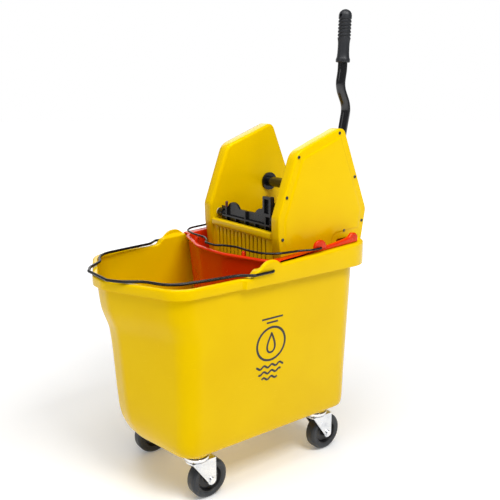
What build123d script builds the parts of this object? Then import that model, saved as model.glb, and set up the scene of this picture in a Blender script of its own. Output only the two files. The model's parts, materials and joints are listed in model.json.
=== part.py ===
"""Mop bucket on casters with a hung inner bucket and a geared lever wringer.

Millimetres, +Z up. Stations along X are measured from the bail ears of the
outer bucket, -X towards the pouring spout, and the finished parts are moved so
that the origin lies on the floor under the middle of the whole object.
The lever is on the near side, which is -Y.
"""
from build123d import *
import os
from math import acos, atan2, cos, degrees, hypot, pi, radians, sin, tan

# ---- driving dimensions -------------------------------------------------
WALL = 3.5                    # bucket wall
FLOOR_Z = 98.0                # underside of the outer bucket
FRONT_RIM_Z = 420.0           # flat front rim
LIP_DROP = 18.0               # depth of the front lip
SKIRT_Z = 402.0               # lower edge of the rear rim skirt
REAR_RIM_Z0 = 434.0           # rear rim top at the ears
REAR_RIM_RISE = 0.06          # rise of the rear rim per mm towards the rear
SKIRT_HALF_WIDTH = 166.0
REAR_WALL_X = 227.5           # nearly upright rear wall
NOSE_HALF_WIDTH = 16.0      # flat middle of the bow at the front
EAR_Z = 426.5                 # bail pivot of the outer bucket
BAIL_WIRE_R = 2.3
BAIL_REACH = 251.0            # from the ears to the grip bar of the bail

INSERT_EAR_X, INSERT_EAR_Z = 118.0, 449.0
INSERT_WIRE_R = 2.0
INSERT_FLOOR_Z = 168.0

TOWER_IN, TOWER_SEAM, TOWER_OUT = 90.5, 118.0, 121.7
TOWER_FRONT_FLARE = 5.5       # the inner face opens towards the front
FLARE_X0, FLARE_X1 = 47.0, 140.0
TOWER_WALL = 3.0
TOWER_REAR_X = 272.0

SHAFT_X, SHAFT_Z = 193.0, 539.0
SHAFT_R, JOURNAL_R = 10.5, 8.0
RUNNING = 0.05                # radial clearance of every pin and shaft

MODULE = 3.0
DRIVE_TEETH, SECTOR_TEETH = 27, 63
PRESSURE = radians(20)
BACKLASH = 0.5
GEAR_Y0, GEAR_Y1 = 100.0, 108.0
MESH_DEG = 23.1               # direction from the jaw pivot to the shaft
CENTRES = MODULE * (DRIVE_TEETH + SECTOR_TEETH) / 2
PIVOT_X = SHAFT_X - CENTRES * cos(radians(MESH_DEG))
PIVOT_Z = SHAFT_Z - CENTRES * sin(radians(MESH_DEG))
PIVOT_R = 5.0

LEVER_Y = 104.0
LEVER_TUBE_R = 8.8
LEVER_LEAN = 11.4             # of the lever's foot, degrees back from vertical
GRIP_BASE = (211.5, 779.0)
GRIP_TIP = (215.0, 873.0)
GRIP_LENGTH = hypot(GRIP_TIP[0] - GRIP_BASE[0], GRIP_TIP[1] - GRIP_BASE[1])
GRIP_LEAN = degrees(atan2(GRIP_TIP[0] - GRIP_BASE[0], GRIP_TIP[1] - GRIP_BASE[1]))

JAW_HALF_WIDTH = 85.5
JAW_BOTTOM_Z = 358.0

WHEEL_R = 38.0
WHEEL_WIDTH = 24.0
CASTER_TRAIL = 22.0
CASTER_X = {"front": -124.0, "rear": 165.0}
CASTER_Y = 101.0
STEM_R = 5.5
AXLE_R = 4.0

FRONT_END_X = -BAIL_REACH - BAIL_WIRE_R
ORIGIN_X = (FRONT_END_X + TOWER_REAR_X) / 2
SIDES = {"near": -1, "far": 1}


# ---- helpers ------------------------------------------------------------
def rounded_loop(corners, z=0.0):
    """Closed wire at height z through (x, y, radius) corners."""
    points = [Vector(x, y, z) for x, y, _ in corners]
    edges, starts, ends = [], [], []
    for i, (_, _, radius) in enumerate(corners):
        here, before, after = points[i], points[i - 1], points[(i + 1) % len(points)]
        to_before = (before - here).normalized()
        to_after = (after - here).normalized()
        half = radians(to_before.get_angle(to_after)) / 2
        reach = radius / tan(half)
        middle = here + (to_before + to_after).normalized() * (radius / sin(half) - radius)
        starts.append(here + to_before * reach)
        ends.append(here + to_after * reach)
        edges.append(Edge.make_three_point_arc(starts[-1], middle, ends[-1]))
    for i in range(len(points)):
        edges.append(Edge.make_line(ends[i], starts[(i + 1) % len(points)]))
    return Wire(edges)


def mirrored(half_corners):
    """Loop corners of a plan that is symmetric about y = 0, from its near half."""
    return half_corners + [(x, -y, r) for x, y, r in reversed(half_corners)]


def slab(corners, z0, z1):
    return extrude(Face(rounded_loop(corners, z0)), z1 - z0, (0, 0, 1))


def skin(sections):
    """Ruled solid through [(z, half plan), ...]."""
    return Solid.make_loft([rounded_loop(mirrored(plan), z) for z, plan in sections], True)


def prism_y(points, y0, y1, radius=0.0):
    """Polygon of (x, z) points, spanning y0 to y1, with its corners rounded."""
    face = Face(Wire.make_polygon([(x, y0, z) for x, z in points], close=True))
    if radius:
        face = face.fillet_2d(radius, face.vertices())
    return extrude(face, y1 - y0, (0, 1, 0))


def box(x0, x1, y0, y1, z0, z1):
    return Pos((x0 + x1) / 2, (y0 + y1) / 2, (z0 + z1) / 2) * Box(x1 - x0, y1 - y0, z1 - z0)


def rod_y(x, z, y0, y1, radius):
    return Pos(x, (y0 + y1) / 2, z) * Rot(90, 0, 0) * Cylinder(radius, abs(y1 - y0))


def rod_z(x, y, z0, z1, radius):
    return Pos(x, y, (z0 + z1) / 2) * Cylinder(radius, z1 - z0)


def rod_x(y, z, x0, x1, radius):
    return Pos((x0 + x1) / 2, y, z) * Rot(0, 90, 0) * Cylinder(radius, x1 - x0)


def wire_sweep(points, radii, wire_r):
    path = FilletPolyline(*points, radius=radii)
    start = Plane(origin=path @ 0, z_dir=path % 0)
    return sweep(start * Circle(wire_r), path=path)


def both_sides(half_points):
    """Route that starts on the far side, crosses y = 0 and ends on the near side."""
    return [(x, y, z) for x, y, z in half_points] + [(x, -y, z) for x, y, z in reversed(half_points)]


def rear_rim_z(x):
    return REAR_RIM_Z0 + REAR_RIM_RISE * x


# ---- outer bucket -------------------------------------------------------
def body_plan(rear_x, rear_r, half_width, corner_x, corner_r, nose_x):
    """Near half of the bucket plan: rear corner, front corner, and the bow's blunt nose."""
    return [(rear_x, -half_width, rear_r), (corner_x, -half_width, corner_r),
            (nose_x, -NOSE_HALF_WIDTH, 34.0)]


# height: (rear wall, rear corner radius, half width, front corner, its radius, nose)
BODY_SECTIONS = [
    (98.0, (REAR_WALL_X, 34, 131.0, -160.0, 34, -178.0)),
    (118.0, (REAR_WALL_X, 34, 134.0, -163.0, 38, -196.0)),
    (160.0, (REAR_WALL_X, 36, 136.5, -160.0, 44, -213.0)),
    (315.0, (REAR_WALL_X, 42, 147.5, -166.0, 48, -226.0)),
    (365.0, (REAR_WALL_X, 44, 151.0, -178.0, 50, -241.0)),
    (455.0, (REAR_WALL_X + 0.5, 45, 155.0, -184.0, 50, -249.0)),
]


def body_loft(inset, bottom_z):
    """Outside of the body when inset is 0, its cavity when inset is the wall."""
    sections = []
    for z, (rear_x, rear_r, width, corner_x, corner_r, nose_x) in BODY_SECTIONS:
        plan = body_plan(rear_x - inset, rear_r - inset, width - inset,
                         corner_x + 0.6 * inset, corner_r - inset, nose_x + inset)
        sections.append((max(z, bottom_z), plan))
    return skin(sections)


def rim_band(growth, z0, z1):
    """Body plan at the rim, grown outwards, between two heights."""
    plan = body_plan(228.0 + growth, 45 + growth, 154.5 + growth,
                     -182.0 - 0.6 * growth, 50 + growth, -246.0 - growth)
    return slab(mirrored(plan), z0, z1)


def rear_band(x_front, half_width, rear_x, corner_r, z0, z1):
    corners = [(rear_x, -half_width, corner_r), (x_front, -half_width, 4.0)]
    return slab(mirrored(corners), z0, z1)


def above_rim():
    """Everything over the stepped, rising rim line."""
    line = [(-300, FRONT_RIM_Z), (-46, FRONT_RIM_Z), (-34, rear_rim_z(-34)), (300, rear_rim_z(300)),
            (300, 520), (-300, 520)]
    return prism_y(line, -200, 200)


def bail_ear(side):
    plate = rod_y(-5.0, 424.0, side * 159.0, side * SKIRT_HALF_WIDTH, 22.0)
    return plate & box(-40, 40, -200, 200, 424.0, 480)


def bucket_shell():
    outside = body_loft(0.0, FLOOR_Z)
    outside += rim_band(6.5, FRONT_RIM_Z - LIP_DROP, FRONT_RIM_Z)
    outside += rear_band(-60.0, SKIRT_HALF_WIDTH, 247.0, 56.0, SKIRT_Z, 455.0)
    under_lip = rim_band(3.5, FRONT_RIM_Z - LIP_DROP, FRONT_RIM_Z - 3.0) - body_loft(0.0, FLOOR_Z)
    under_lip &= box(-300, -60, -200, 200, 380, 440)
    under_skirt = rear_band(-57.0, SKIRT_HALF_WIDTH - 3, 244.0, 53.0, SKIRT_Z, 455.0)
    under_skirt -= body_loft(0.0, FLOOR_Z)
    under_skirt -= Pos(0, 0, -3.2) * above_rim()
    shell = outside - under_lip - under_skirt - above_rim()
    for side in SIDES.values():
        shell += bail_ear(side)
        for x in CASTER_X.values():
            shell += rod_z(x, side * CASTER_Y, 92.6, FLOOR_Z + 1, 23.0)
    shell -= body_loft(WALL, FLOOR_Z + 4.0)
    for side in SIDES.values():
        shell -= rod_y(0, EAR_Z, side * 140, side * 180, BAIL_WIRE_R + RUNNING)
        for x in CASTER_X.values():
            shell += rod_z(x, side * CASTER_Y, FLOOR_Z + 1, 132.0, 13.0)
            shell -= rod_z(x, side * CASTER_Y, 80.0, 128.0, 8.0)
    # tipping hand-hold: a shallow step across the lower rear wall
    shell -= box(226.4, 240, -95, 95, 150, 226)
    return shell


def bucket_bail():
    half = [(0, 152, EAR_Z), (0, 169.3, EAR_Z), (-43, 169.3, EAR_Z - 0.6), (-65, 151, EAR_Z - 0.9),
            (-126, 143, EAR_Z - 1.6), (-186, 133, EAR_Z - 2.2), (-206, 84, EAR_Z - 2.5),
            (-238, 58, EAR_Z - 2.8), (-BAIL_REACH, 36, EAR_Z - 3)]
    radii = [3, 14, 14, 60, 24, 22, 24, 12]
    return wire_sweep(both_sides(half), radii + radii[::-1], BAIL_WIRE_R)


# ---- inner bucket -------------------------------------------------------
def insert_plan(rear_x, half_width, corner_x, nose_x, corner_r=26.0, rear_r=30.0):
    return [(rear_x, -half_width, rear_r), (corner_x, -half_width, corner_r), (nose_x, -40.0, 70.0)]


INSERT_SECTIONS = [
    (INSERT_FLOOR_Z, (184.0, 106.0, 38.0, 8.0)),
    (184.0, (190.0, 112.0, 32.0, 2.0)),
    (455.0, (212.0, 143.0, 14.0, -22.0)),
]


def insert_loft(inset, bottom_z):
    sections = [(max(z, bottom_z), insert_plan(r - inset, w - inset, c + inset, n + inset))
                for z, (r, w, c, n) in INSERT_SECTIONS]
    return skin(sections)


def insert_rim_z(x):
    return rear_rim_z(x) + 0.4


def insert_upstand(side):
    """Side rim standing on the outer bucket's rim, with its raised rear end."""
    low = [(20, insert_rim_z(20)), (214, insert_rim_z(214))]
    top = [(214, 458), (208, 465), (199, 466), (190, 458.5), (173, 455), (137, 450), (74, 442.5), (20, 438)]
    upstand = prism_y(low + top, side * 148.5, side * 157.0)
    flange = prism_y(low + [(214, insert_rim_z(214) + 4), (20, insert_rim_z(20) + 4)],
                     side * 139.0, side * 157.0)
    ear = rod_y(INSERT_EAR_X, INSERT_EAR_Z, side * 151.5, side * 157.0, 14.0)
    ear &= box(80, 160, -200, 200, INSERT_EAR_Z - 4, 500)
    end_hole = rod_y(203.0, 458.0, side * 140, side * 170, 2.6)
    return upstand + flange + ear - end_hole


def insert_bucket():
    top = prism_y([(-60, 437.5), (14, 437.5), (20, 438.5), (206, insert_rim_z(206) - 2.5),
                   (300, insert_rim_z(206) - 2.5), (300, 560), (-60, 560)], -200, 200)
    outside = insert_loft(0.0, INSERT_FLOOR_Z)
    bead_plan = insert_plan(204.0, 138.0, 9.0, -27.0, 30.0)
    bead = slab(mirrored(bead_plan), 431.5, 437.5) & box(-80, 24, -139.0, 139.0, 400, 460)
    rear_tab = box(204, 240, -84, 84, rear_rim_z(240) + 0.4, rear_rim_z(240) + 3.6)
    rear_wall = box(204, 210.5, -84, 84, 440, rear_rim_z(240) + 3.6)
    shell = outside - top + bead + rear_tab + rear_wall
    for side in SIDES.values():
        shell += insert_upstand(side)
    shell -= insert_loft(WALL - 0.3, INSERT_FLOOR_Z + 4.0)
    for side in SIDES.values():
        shell += rod_z(1.0, side * 78.0, 434.0, 444.5, 4.0)
        shell += box(60, 84, side * 127.0 - 13, side * 127.0 + 13, 392, 401.6)
        shell -= rod_y(INSERT_EAR_X, INSERT_EAR_Z, side * 140, side * 170, INSERT_WIRE_R + RUNNING)
    return shell


def insert_bail():
    half = [(118, 148, 449), (118, 160.5, 449), (92, 160.5, 449), (70, 151, 448.8), (34, 145, 448.4),
            (9, 135, 448), (2, 92, 447.6), (2, 52, 447.4), (-8, 28, 447.2), (-21, 15, 447)]
    radii = [3, 14, 14, 24, 20, 50, 14, 14, 9]
    return wire_sweep(both_sides(half), radii + radii[::-1], INSERT_WIRE_R)


# ---- wringer ------------------------------------------------------------
TOWER_PROFILE = [(58, 402), (48, 466), (47, 503), (90, 620), (204, 663), (TOWER_REAR_X, 501),
                 (263, 450.2), (194, 447.0), (194, 402)]
TOWER_ROUNDS = [5, 30, 26, 30, 14, 24, 5, 3, 5]


def tower_slab(inset, y0, y1):
    """Tower outline, drawn inwards by inset, between two distances from the middle."""
    face = Face(Wire.make_polygon([(x, y0, z) for x, z in TOWER_PROFILE], close=True))
    for corner, radius in zip(TOWER_PROFILE, TOWER_ROUNDS):
        nearest = min(face.vertices(), key=lambda v: hypot(v.X - corner[0], v.Z - corner[1]))
        face = face.fillet_2d(radius, [nearest])
    if inset:
        face = Face(face.outer_wire().offset_2d(-inset))
    return extrude(face, y1 - y0, (0, 1, 0))


def flare_wedge(depth):
    """Cut that slants the front of a tower's inner face, or its cavity, on +Y."""
    low = TOWER_IN - 20
    corners = [(FLARE_X0 - 30, low), (FLARE_X1, low), (FLARE_X1, TOWER_IN + depth),
               (FLARE_X0, TOWER_IN + depth + TOWER_FRONT_FLARE),
               (FLARE_X0 - 30, TOWER_IN + depth + TOWER_FRONT_FLARE)]
    face = Face(Wire.make_polygon([(x, y, 380) for x, y in corners], close=True))
    return extrude(face, 320, (0, 0, 1))


REAR_POST = (237, 566)        # the lever swings past it
POST_R = 4.6
# screws that hold the cover: (x, z, distance from the middle where the post starts)
COVER_SCREWS = [(193, 651, 108), (93, 612, 108), (66, 541, 108), (57, 465, 95),
                (*REAR_POST, 113.6), (260, 478, 93), (212, 464, 93)]


def screw_end(post_start):
    """Distance from the middle where a cover screw ends, inside its post."""
    return max(TOWER_SEAM - 8, post_start + 1.0)


def rear_hook(y0, y1):
    """Lug at the tower's rear foot that hangs over the outer bucket's rear rim."""
    return prism_y([(250.5, 456), (250.5, 428), (259.0, 428), (264.0, 456)], y0, y1, 2.0)


def tower_housing():
    """Far housing: an open pan with screw posts, a shaft hole and a pivot hole."""
    pan = tower_slab(0, TOWER_IN, TOWER_SEAM) - flare_wedge(0) + rear_hook(TOWER_IN, TOWER_SEAM)
    cavity = tower_slab(TOWER_WALL, TOWER_IN + TOWER_WALL, TOWER_SEAM + 1) - flare_wedge(TOWER_WALL)
    posts = Part() + [rod_y(x, z, y0, TOWER_SEAM, POST_R) for x, z, y0 in COVER_SCREWS]
    pan = pan - cavity + (posts & tower_slab(0, TOWER_IN, TOWER_SEAM))
    for x, z, post_start in COVER_SCREWS:
        pan -= rod_y(x, z, screw_end(post_start) - 0.5, TOWER_SEAM + 1, 1.55)
    pan -= rod_y(SHAFT_X, SHAFT_Z, TOWER_IN - 1, TOWER_IN + 5, 12.0)
    pan -= rod_y(PIVOT_X, PIVOT_Z, TOWER_IN - 1, 101, 8.0)
    return pan


def near_housing():
    pan = mirror(tower_housing(), Plane.XZ)
    slot = box(203.5, 290, -LEVER_Y - 9.6, -LEVER_Y + 9.6, 526, 680)
    return pan - slot


def tower_cover():
    """Far cover: a plate with a raised panel, held on by the cover screws."""
    border = tower_slab(0, TOWER_SEAM, TOWER_OUT - 1.3) + rear_hook(TOWER_SEAM, TOWER_OUT - 1.3)
    border = chamfer(border.faces().sort_by(Axis.Y)[-1].edges(), 1.0)
    panel = tower_slab(15.0, TOWER_SEAM + 1, TOWER_OUT)
    panel = chamfer(panel.faces().sort_by(Axis.Y)[-1].edges(), 1.0)
    cover = border + panel
    for x, z, _ in COVER_SCREWS:
        cover -= rod_y(x, z, TOWER_SEAM - 1, TOWER_OUT + 1, 1.6)
        cover -= rod_y(x, z, TOWER_OUT - 1.3, TOWER_OUT + 1, 3.6)
    return cover


def cover_screws():
    screws = []
    for x, z, post_start in COVER_SCREWS:
        screw = rod_y(x, z, screw_end(post_start), TOWER_OUT - 1.3, 1.5)
        head = rod_y(x, z, TOWER_OUT - 1.3, TOWER_OUT, 3.0)
        head = chamfer(head.faces().sort_by(Axis.Y)[-1].edges(), 0.5)
        recess = box(x - 1.6, x + 1.6, TOWER_OUT - 0.7, TOWER_OUT + 1, z - 0.4, z + 0.4)
        recess += box(x - 0.4, x + 0.4, TOWER_OUT - 0.7, TOWER_OUT + 1, z - 1.6, z + 1.6)
        screws.append(screw + head - recess)
    return Compound(children=screws)


BASKET_INNER = [(57, 463), (57, 345), (140, 345), (196, 456.5), (250, 468)]
BASKET_OUTER = [(250, 464.5), (198.2, 453.5), (142.0, 341.8), (53.8, 341.8), (53.8, 463)]
BASKET_CHEEK = [(53.8, 463), (53.8, 341.8), (142.0, 341.8), (198.2, 453.5), (196, 456.5)]
SLOT_PITCH = 12.5


def wringer_basket():
    """Slotted strainer between the towers, with its front and rear rails."""
    width = TOWER_IN - 0.3
    trough = prism_y(BASKET_INNER + BASKET_OUTER, -width, width)
    trough += prism_y([(53.8, 463), (53.8, 404), (57, 404), (57, 463)], -95.4, 95.4)
    trough += prism_y([(49, 463), (49, 472), (52, 475), (57, 475), (60, 472), (60, 463)], -95.0, 95.0)
    trough += prism_y([(246, 465), (246, 472), (249, 476), (257, 476), (260, 472), (260, 465)],
                      -width, width)
    for side in SIDES.values():
        trough += prism_y(BASKET_CHEEK, side * 87.3, side * width)
    for row in range(-6, 7):
        y = row * SLOT_PITCH
        trough -= box(50, 60, y - 2.5, y + 2.5, 356, 458)
        trough -= prism_y([(150, 356), (190, 428), (205, 420), (165, 348)], y - 2.5, y + 2.5)
    for row in range(-3, 4):
        trough -= box(72, 128, row * 22 - 3, row * 22 + 3, 338, 348)
    return trough


def shaft_bushes():
    bushes = []
    for side in SIDES.values():
        y0, y1 = side * TOWER_IN, side * (TOWER_IN + TOWER_WALL)
        bushes.append(rod_y(SHAFT_X, SHAFT_Z, y0, y1, 12.0)
                      - rod_y(SHAFT_X, SHAFT_Z, y0 - side, y1 + side, JOURNAL_R + RUNNING))
    return Compound(children=bushes)


def pivot_bushes():
    bushes = []
    for side in SIDES.values():
        y0, y1 = side * 93.6, side * 98.6
        bushes.append(rod_y(PIVOT_X, PIVOT_Z, y0, y1, 8.0)
                      - rod_y(PIVOT_X, PIVOT_Z, y0 - side, y1 + side, PIVOT_R + RUNNING))
    return Compound(children=bushes)


def return_spring():
    """Torsion spring round the far end of the shaft: close turns, and a leg to a housing post."""
    wire_r, coil_r, turns, pitch = 1.1, 14.0, 3, 2.0
    spring = Part() + [Pos(0, 0, turn * pitch) * Torus(coil_r, wire_r) for turn in range(turns)]
    post_x, post_z = REAR_POST[0] - SHAFT_X, REAR_POST[1] - SHAFT_Z
    reach = hypot(post_x, post_z) - POST_R - coil_r
    leg = Rot(0, 90, 0) * Pos(0, 0, coil_r + reach / 2) * Cylinder(wire_r, reach)
    at_post = Rot(0, 0, -degrees(atan2(post_z, post_x)))
    return Pos(SHAFT_X, 109.6, SHAFT_Z) * Rot(-90, 0, 0) * at_post * (spring + leg)


# ---- gears --------------------------------------------------------------
def tooth(teeth, at_deg):
    """One involute tooth about the Y axis at (0, 0), pointing at at_deg from +X to +Z."""
    pitch_r = MODULE * teeth / 2
    base_r = pitch_r * cos(PRESSURE)
    root_r, tip_r = pitch_r - 1.25 * MODULE, pitch_r + MODULE
    half_at_pitch = pi / (2 * teeth) - BACKLASH / (4 * pitch_r) + tan(PRESSURE) - PRESSURE
    flank = []
    for step in range(5):
        radius = max(root_r, base_r) + (tip_r - max(root_r, base_r)) * step / 4
        roll = acos(min(1.0, base_r / radius))
        flank.append((radius, half_at_pitch - tan(roll) + roll))
    flank.insert(0, (root_r - 1.0, flank[0][1]))
    centre = radians(at_deg)
    low = [(r * cos(centre - a), GEAR_Y0, r * sin(centre - a)) for r, a in flank]
    high = [(r * cos(centre + a), GEAR_Y0, r * sin(centre + a)) for r, a in reversed(flank)]
    face = Face(Wire.make_polygon(low + high, close=True))
    return extrude(face, GEAR_Y1 - GEAR_Y0, (0, 1, 0))


def pie(radius, from_deg, to_deg):
    """Wedge of a disc about the Y axis, as thick as the gears."""
    reach = radius / cos(radians(to_deg - from_deg) / 2) + 5
    middle = (from_deg + to_deg) / 2
    corners = [(0, 0)] + [(reach * cos(radians(a)), reach * sin(radians(a)))
                          for a in (from_deg, middle, to_deg)]
    return rod_y(0, 0, GEAR_Y0, GEAR_Y1, radius) & prism_y(corners, GEAR_Y0, GEAR_Y1)


def toothed_wedge(teeth, first_deg, count, turn):
    """Gear sector with count teeth, each one pitch further round in the turn direction."""
    pitch_deg = 360.0 / teeth
    root_r = MODULE * teeth / 2 - 1.25 * MODULE
    last_deg = first_deg + turn * pitch_deg * (count - 1)
    low, high = min(first_deg, last_deg) - pitch_deg / 2, max(first_deg, last_deg) + pitch_deg / 2
    wedge = pie(root_r, low, high)
    for k in range(count):
        wedge += tooth(teeth, first_deg + turn * k * pitch_deg)
    return wedge, low, high


def drive_gear(hub_to):
    """Far drive gear at the origin: teeth that roll through the mesh as the lever goes down."""
    first = 180 + MESH_DEG - 1.5 * 360 / DRIVE_TEETH
    wedge, _, _ = toothed_wedge(DRIVE_TEETH, first, 9, 1)
    hub = rod_y(0, 0, TOWER_IN + TOWER_WALL + 0.8, hub_to, 13.0)
    bore = rod_y(0, 0, 80, 130, JOURNAL_R)
    holes = [rod_y(26 * cos(radians(a)), 26 * sin(radians(a)), 90, 120, 4.0) for a in (215, 245, 275)]
    return wedge + hub - bore - holes


def far_drive_gear():
    return Pos(SHAFT_X, 0, SHAFT_Z) * drive_gear(108.0)


def lever_hub():
    """Near drive gear with the socket that holds the lever tube."""
    gear = mirror(drive_gear(113.8), Plane.XZ)
    socket = Rot(0, LEVER_LEAN, 0) * Pos(0, -LEVER_Y, 28) * Cylinder(10.3, 36)
    bore = Rot(0, LEVER_LEAN, 0) * Pos(0, -LEVER_Y, 40) * Cylinder(LEVER_TUBE_R, 34)
    hub = gear + (socket - rod_y(0, 0, -120, -80, JOURNAL_R))
    return Pos(SHAFT_X, 0, SHAFT_Z) * (hub - bore)


def jaw_sector():
    """Far sector on the jaw's pivot pin; its teeth mesh with the drive gear."""
    wedge, low, high = toothed_wedge(SECTOR_TEETH, MESH_DEG + 360 / SECTOR_TEETH, 9, -1)
    hub = rod_y(0, 0, 99.0, 112.0, 11.0)
    middle = radians((low + high) / 2)
    window = rod_y(56 * cos(middle), 56 * sin(middle), 95, 115, 14.0)
    sector = wedge + hub - window - rod_y(0, 0, 90, 120, PIVOT_R)
    return Pos(PIVOT_X, 0, PIVOT_Z) * sector


def cross_shaft():
    shaft = rod_y(SHAFT_X, SHAFT_Z, -TOWER_IN + 0.4, TOWER_IN - 0.4, SHAFT_R)
    return shaft + rod_y(SHAFT_X, SHAFT_Z, -115.5, 115.5, JOURNAL_R)


def shaft_collars():
    collars = []
    for side in SIDES.values():
        y0, y1 = side * (TOWER_IN - 4.6), side * (TOWER_IN - 0.5)
        collars.append(rod_y(SHAFT_X, SHAFT_Z, y0, y1, 18.5)
                       - rod_y(SHAFT_X, SHAFT_Z, y0 - side, y1 + side, SHAFT_R))
    return Compound(children=collars)


def along(start, lean_deg, distance):
    """Point on the lever's plane, so far from start on a line that leans back."""
    lean = radians(lean_deg)
    return (start[0] + distance * sin(lean), -LEVER_Y, start[1] + distance * cos(lean))


def lever_tube():
    """Bent tube from the hub's socket, through a double bend, into the grip."""
    shaft = (SHAFT_X, SHAFT_Z)
    route = [along(shaft, LEVER_LEAN, 24), along(shaft, LEVER_LEAN, 162), (206, -LEVER_Y, 735),
             along(GRIP_BASE, GRIP_LEAN, -14), along(GRIP_BASE, GRIP_LEAN, 59)]
    bends = [26, 30, 60]
    return wire_sweep(route, bends, LEVER_TUBE_R) - wire_sweep(route, bends, LEVER_TUBE_R - 1.6)


def lever_grip():
    """Moulded grip: flared collar, plain barrel, ring grooves and a domed end with a hole."""
    outline = [(0, 0), (12.6, 0), (13.2, 2), (13.2, 6), (12.2, 8), (10.9, 38), (12.0, 42)]
    for ring in range(6):
        z = 44 + ring * 5.5
        outline += [(12.0, z), (10.9, z + 1.2), (10.9, z + 2.4), (12.0, z + 3.6)]
    outline += [(12.0, GRIP_LENGTH - 7), (7.5, GRIP_LENGTH - 1.4), (0, GRIP_LENGTH)]
    grip = revolve(Face(Wire.make_polygon([(r, 0, z) for r, z in outline], close=True)), Axis.Z)
    grip -= Pos(0, 0, 29) * Cylinder(LEVER_TUBE_R, 62)
    grip -= rod_x(0, GRIP_LENGTH - 11, -20, 20, 3.0)
    return Pos(GRIP_BASE[0], -LEVER_Y, GRIP_BASE[1]) * Rot(0, GRIP_LEAN, 0) * grip


def hub_pins():
    """Cross pins that fix the lever tube, and both drive gears, to the shaft."""
    pins = [Pos(SHAFT_X, -LEVER_Y, SHAFT_Z) * Rot(0, LEVER_LEAN, 0) * Pos(0, 0, 40)
            * Rot(0, 90, 0) * Cylinder(1.6, 22)]
    for side in SIDES.values():
        pins.append(rod_z(SHAFT_X, side * 97.5, SHAFT_Z - 12.6, SHAFT_Z + 12.6, 1.5))
    return Compound(children=pins)


def drilled(piece, pins):
    """The piece with a hole for every pin that crosses it."""
    for pin in pins.solids():
        piece -= pin
    return piece


# ---- press jaw ----------------------------------------------------------
def press_jaw():
    """Ribbed plate that hangs from its end bosses behind the slotted front wall."""
    x0, x1 = PIVOT_X - 2.0, PIVOT_X + 2.5
    plate = box(x0, x1, -JAW_HALF_WIDTH, JAW_HALF_WIDTH, JAW_BOTTOM_Z, 500)
    for side in SIDES.values():
        hump = rod_x(side * 45.0, 489.0, x0, x1, 22.0)
        plate += hump & box(x0, x1, -90, 90, 489, 520)
        plate += rod_y(PIVOT_X, PIVOT_Z, side * 78.0, side * 92.6, 8.6)
    plate += box(x0 - 5.0, x0, -JAW_HALF_WIDTH, JAW_HALF_WIDTH, 481.0, 484.0)
    plate += box(x0 - 5.0, x0, -JAW_HALF_WIDTH, JAW_HALF_WIDTH, JAW_BOTTOM_Z, JAW_BOTTOM_Z + 4)
    for y in (-63.0, -31.5, 0.0, 31.5, 63.0):
        plate += box(x0 - 5.0, x0, y - 1.5, y + 1.5, JAW_BOTTOM_Z, 500 if y in (-63, 0, 63) else 482)
    for y in range(-75, 76, 15):
        for z in range(372, 460, 16):
            plate -= rod_x(y, z, x0 - 1, x1 + 1, 2.6)
    for side in SIDES.values():
        plate -= rod_y(PIVOT_X, PIVOT_Z, side * 76.0, side * 95.0, PIVOT_R)
    return plate


def jaw_block():
    """Upright stop block at the near end of the jaw, hollowed on its front."""
    x0 = PIVOT_X - 2.0
    block = box(x0 - 9, x0, -84, -60, 500.2, 538)
    block = chamfer(block.edges().filter_by(Axis.X), 2.0)
    block -= box(x0 - 10, x0 - 4, -79, -65, 506, 533)
    foot = box(x0, x0 + 4.5, -84, -68, 500.2, 526)
    return block + foot


def jaw_peg():
    """Small peg on the far rib."""
    x0 = PIVOT_X - 5.4
    peg = rod_z(x0, 63.0, 500.0, 509.0, 2.6) + Pos(x0, 63.0, 509.0) * Sphere(3.2)
    return peg & box(x0 - 10, x0 + 10, 50, 76, 500.0, 520)


def pivot_pins():
    pins = []
    for side in SIDES.values():
        pins.append(rod_y(PIVOT_X, PIVOT_Z, side * 76.0, side * 114.0, PIVOT_R))
    return Compound(children=pins)


def sector_screws():
    """Countersunk screw in the end of each pivot pin, with its washer."""
    screws = []
    for side in SIDES.values():
        washer = rod_y(PIVOT_X, PIVOT_Z, side * 114.0, side * 115.2, 7.5)
        head = rod_y(PIVOT_X, PIVOT_Z, side * 115.2, side * 117.2, 4.0)
        screws.append(washer + head)
    return Compound(children=screws)


# ---- casters ------------------------------------------------------------
def ring(profile, axis):
    return revolve(Face(Wire.make_polygon(profile, close=True)), axis)


def tyre():
    half, lip = WHEEL_WIDTH / 2, 27.0
    profile = [(lip, -half + 1), (33, -half), (36.4, -half + 2), (WHEEL_R, -half + 6),
               (WHEEL_R, half - 6), (36.4, half - 2), (33, half), (lip, half - 1)]
    return ring([(r, y, 0) for r, y in profile], Axis.Y)


def wheel_core():
    """Dished centre: rim, thin web and a hub that is a little wider than the tyre."""
    rim, web, hub = WHEEL_WIDTH / 2 - 1, 3.0, 13.5
    bore = AXLE_R + RUNNING
    profile = [(bore, -hub), (9, -hub), (9, -web), (23, -web), (24, -rim), (27, -rim),
               (27, rim), (24, rim), (23, web), (9, web), (9, hub), (bore, hub)]
    return ring([(r, y, 0) for r, y in profile], Axis.Y)


def fork_leg(side):
    leg = prism_y([(-19, 82), (31, 82), (31, 40), (13.5, 36)], side * 15.0, side * 17.6)
    tip = rod_y(CASTER_TRAIL, WHEEL_R, side * 15.0, side * 17.6, 9.0)
    return leg + tip


def fork():
    crown = box(-19, 31, -17.6, 17.6, 79, 82)
    crown = fillet(crown.edges().filter_by(Axis.Z), 8)
    body = crown + (fork_leg(1) & box(-40, 40, -20, 20, 20, 82)) + fork_leg(-1)
    body += rod_z(0, 0, 79, 82, 21.0)
    body -= rod_z(0, 0, 70, 90, STEM_R + RUNNING)
    return body - rod_y(CASTER_TRAIL, WHEEL_R, -30, 30, AXLE_R)


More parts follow.
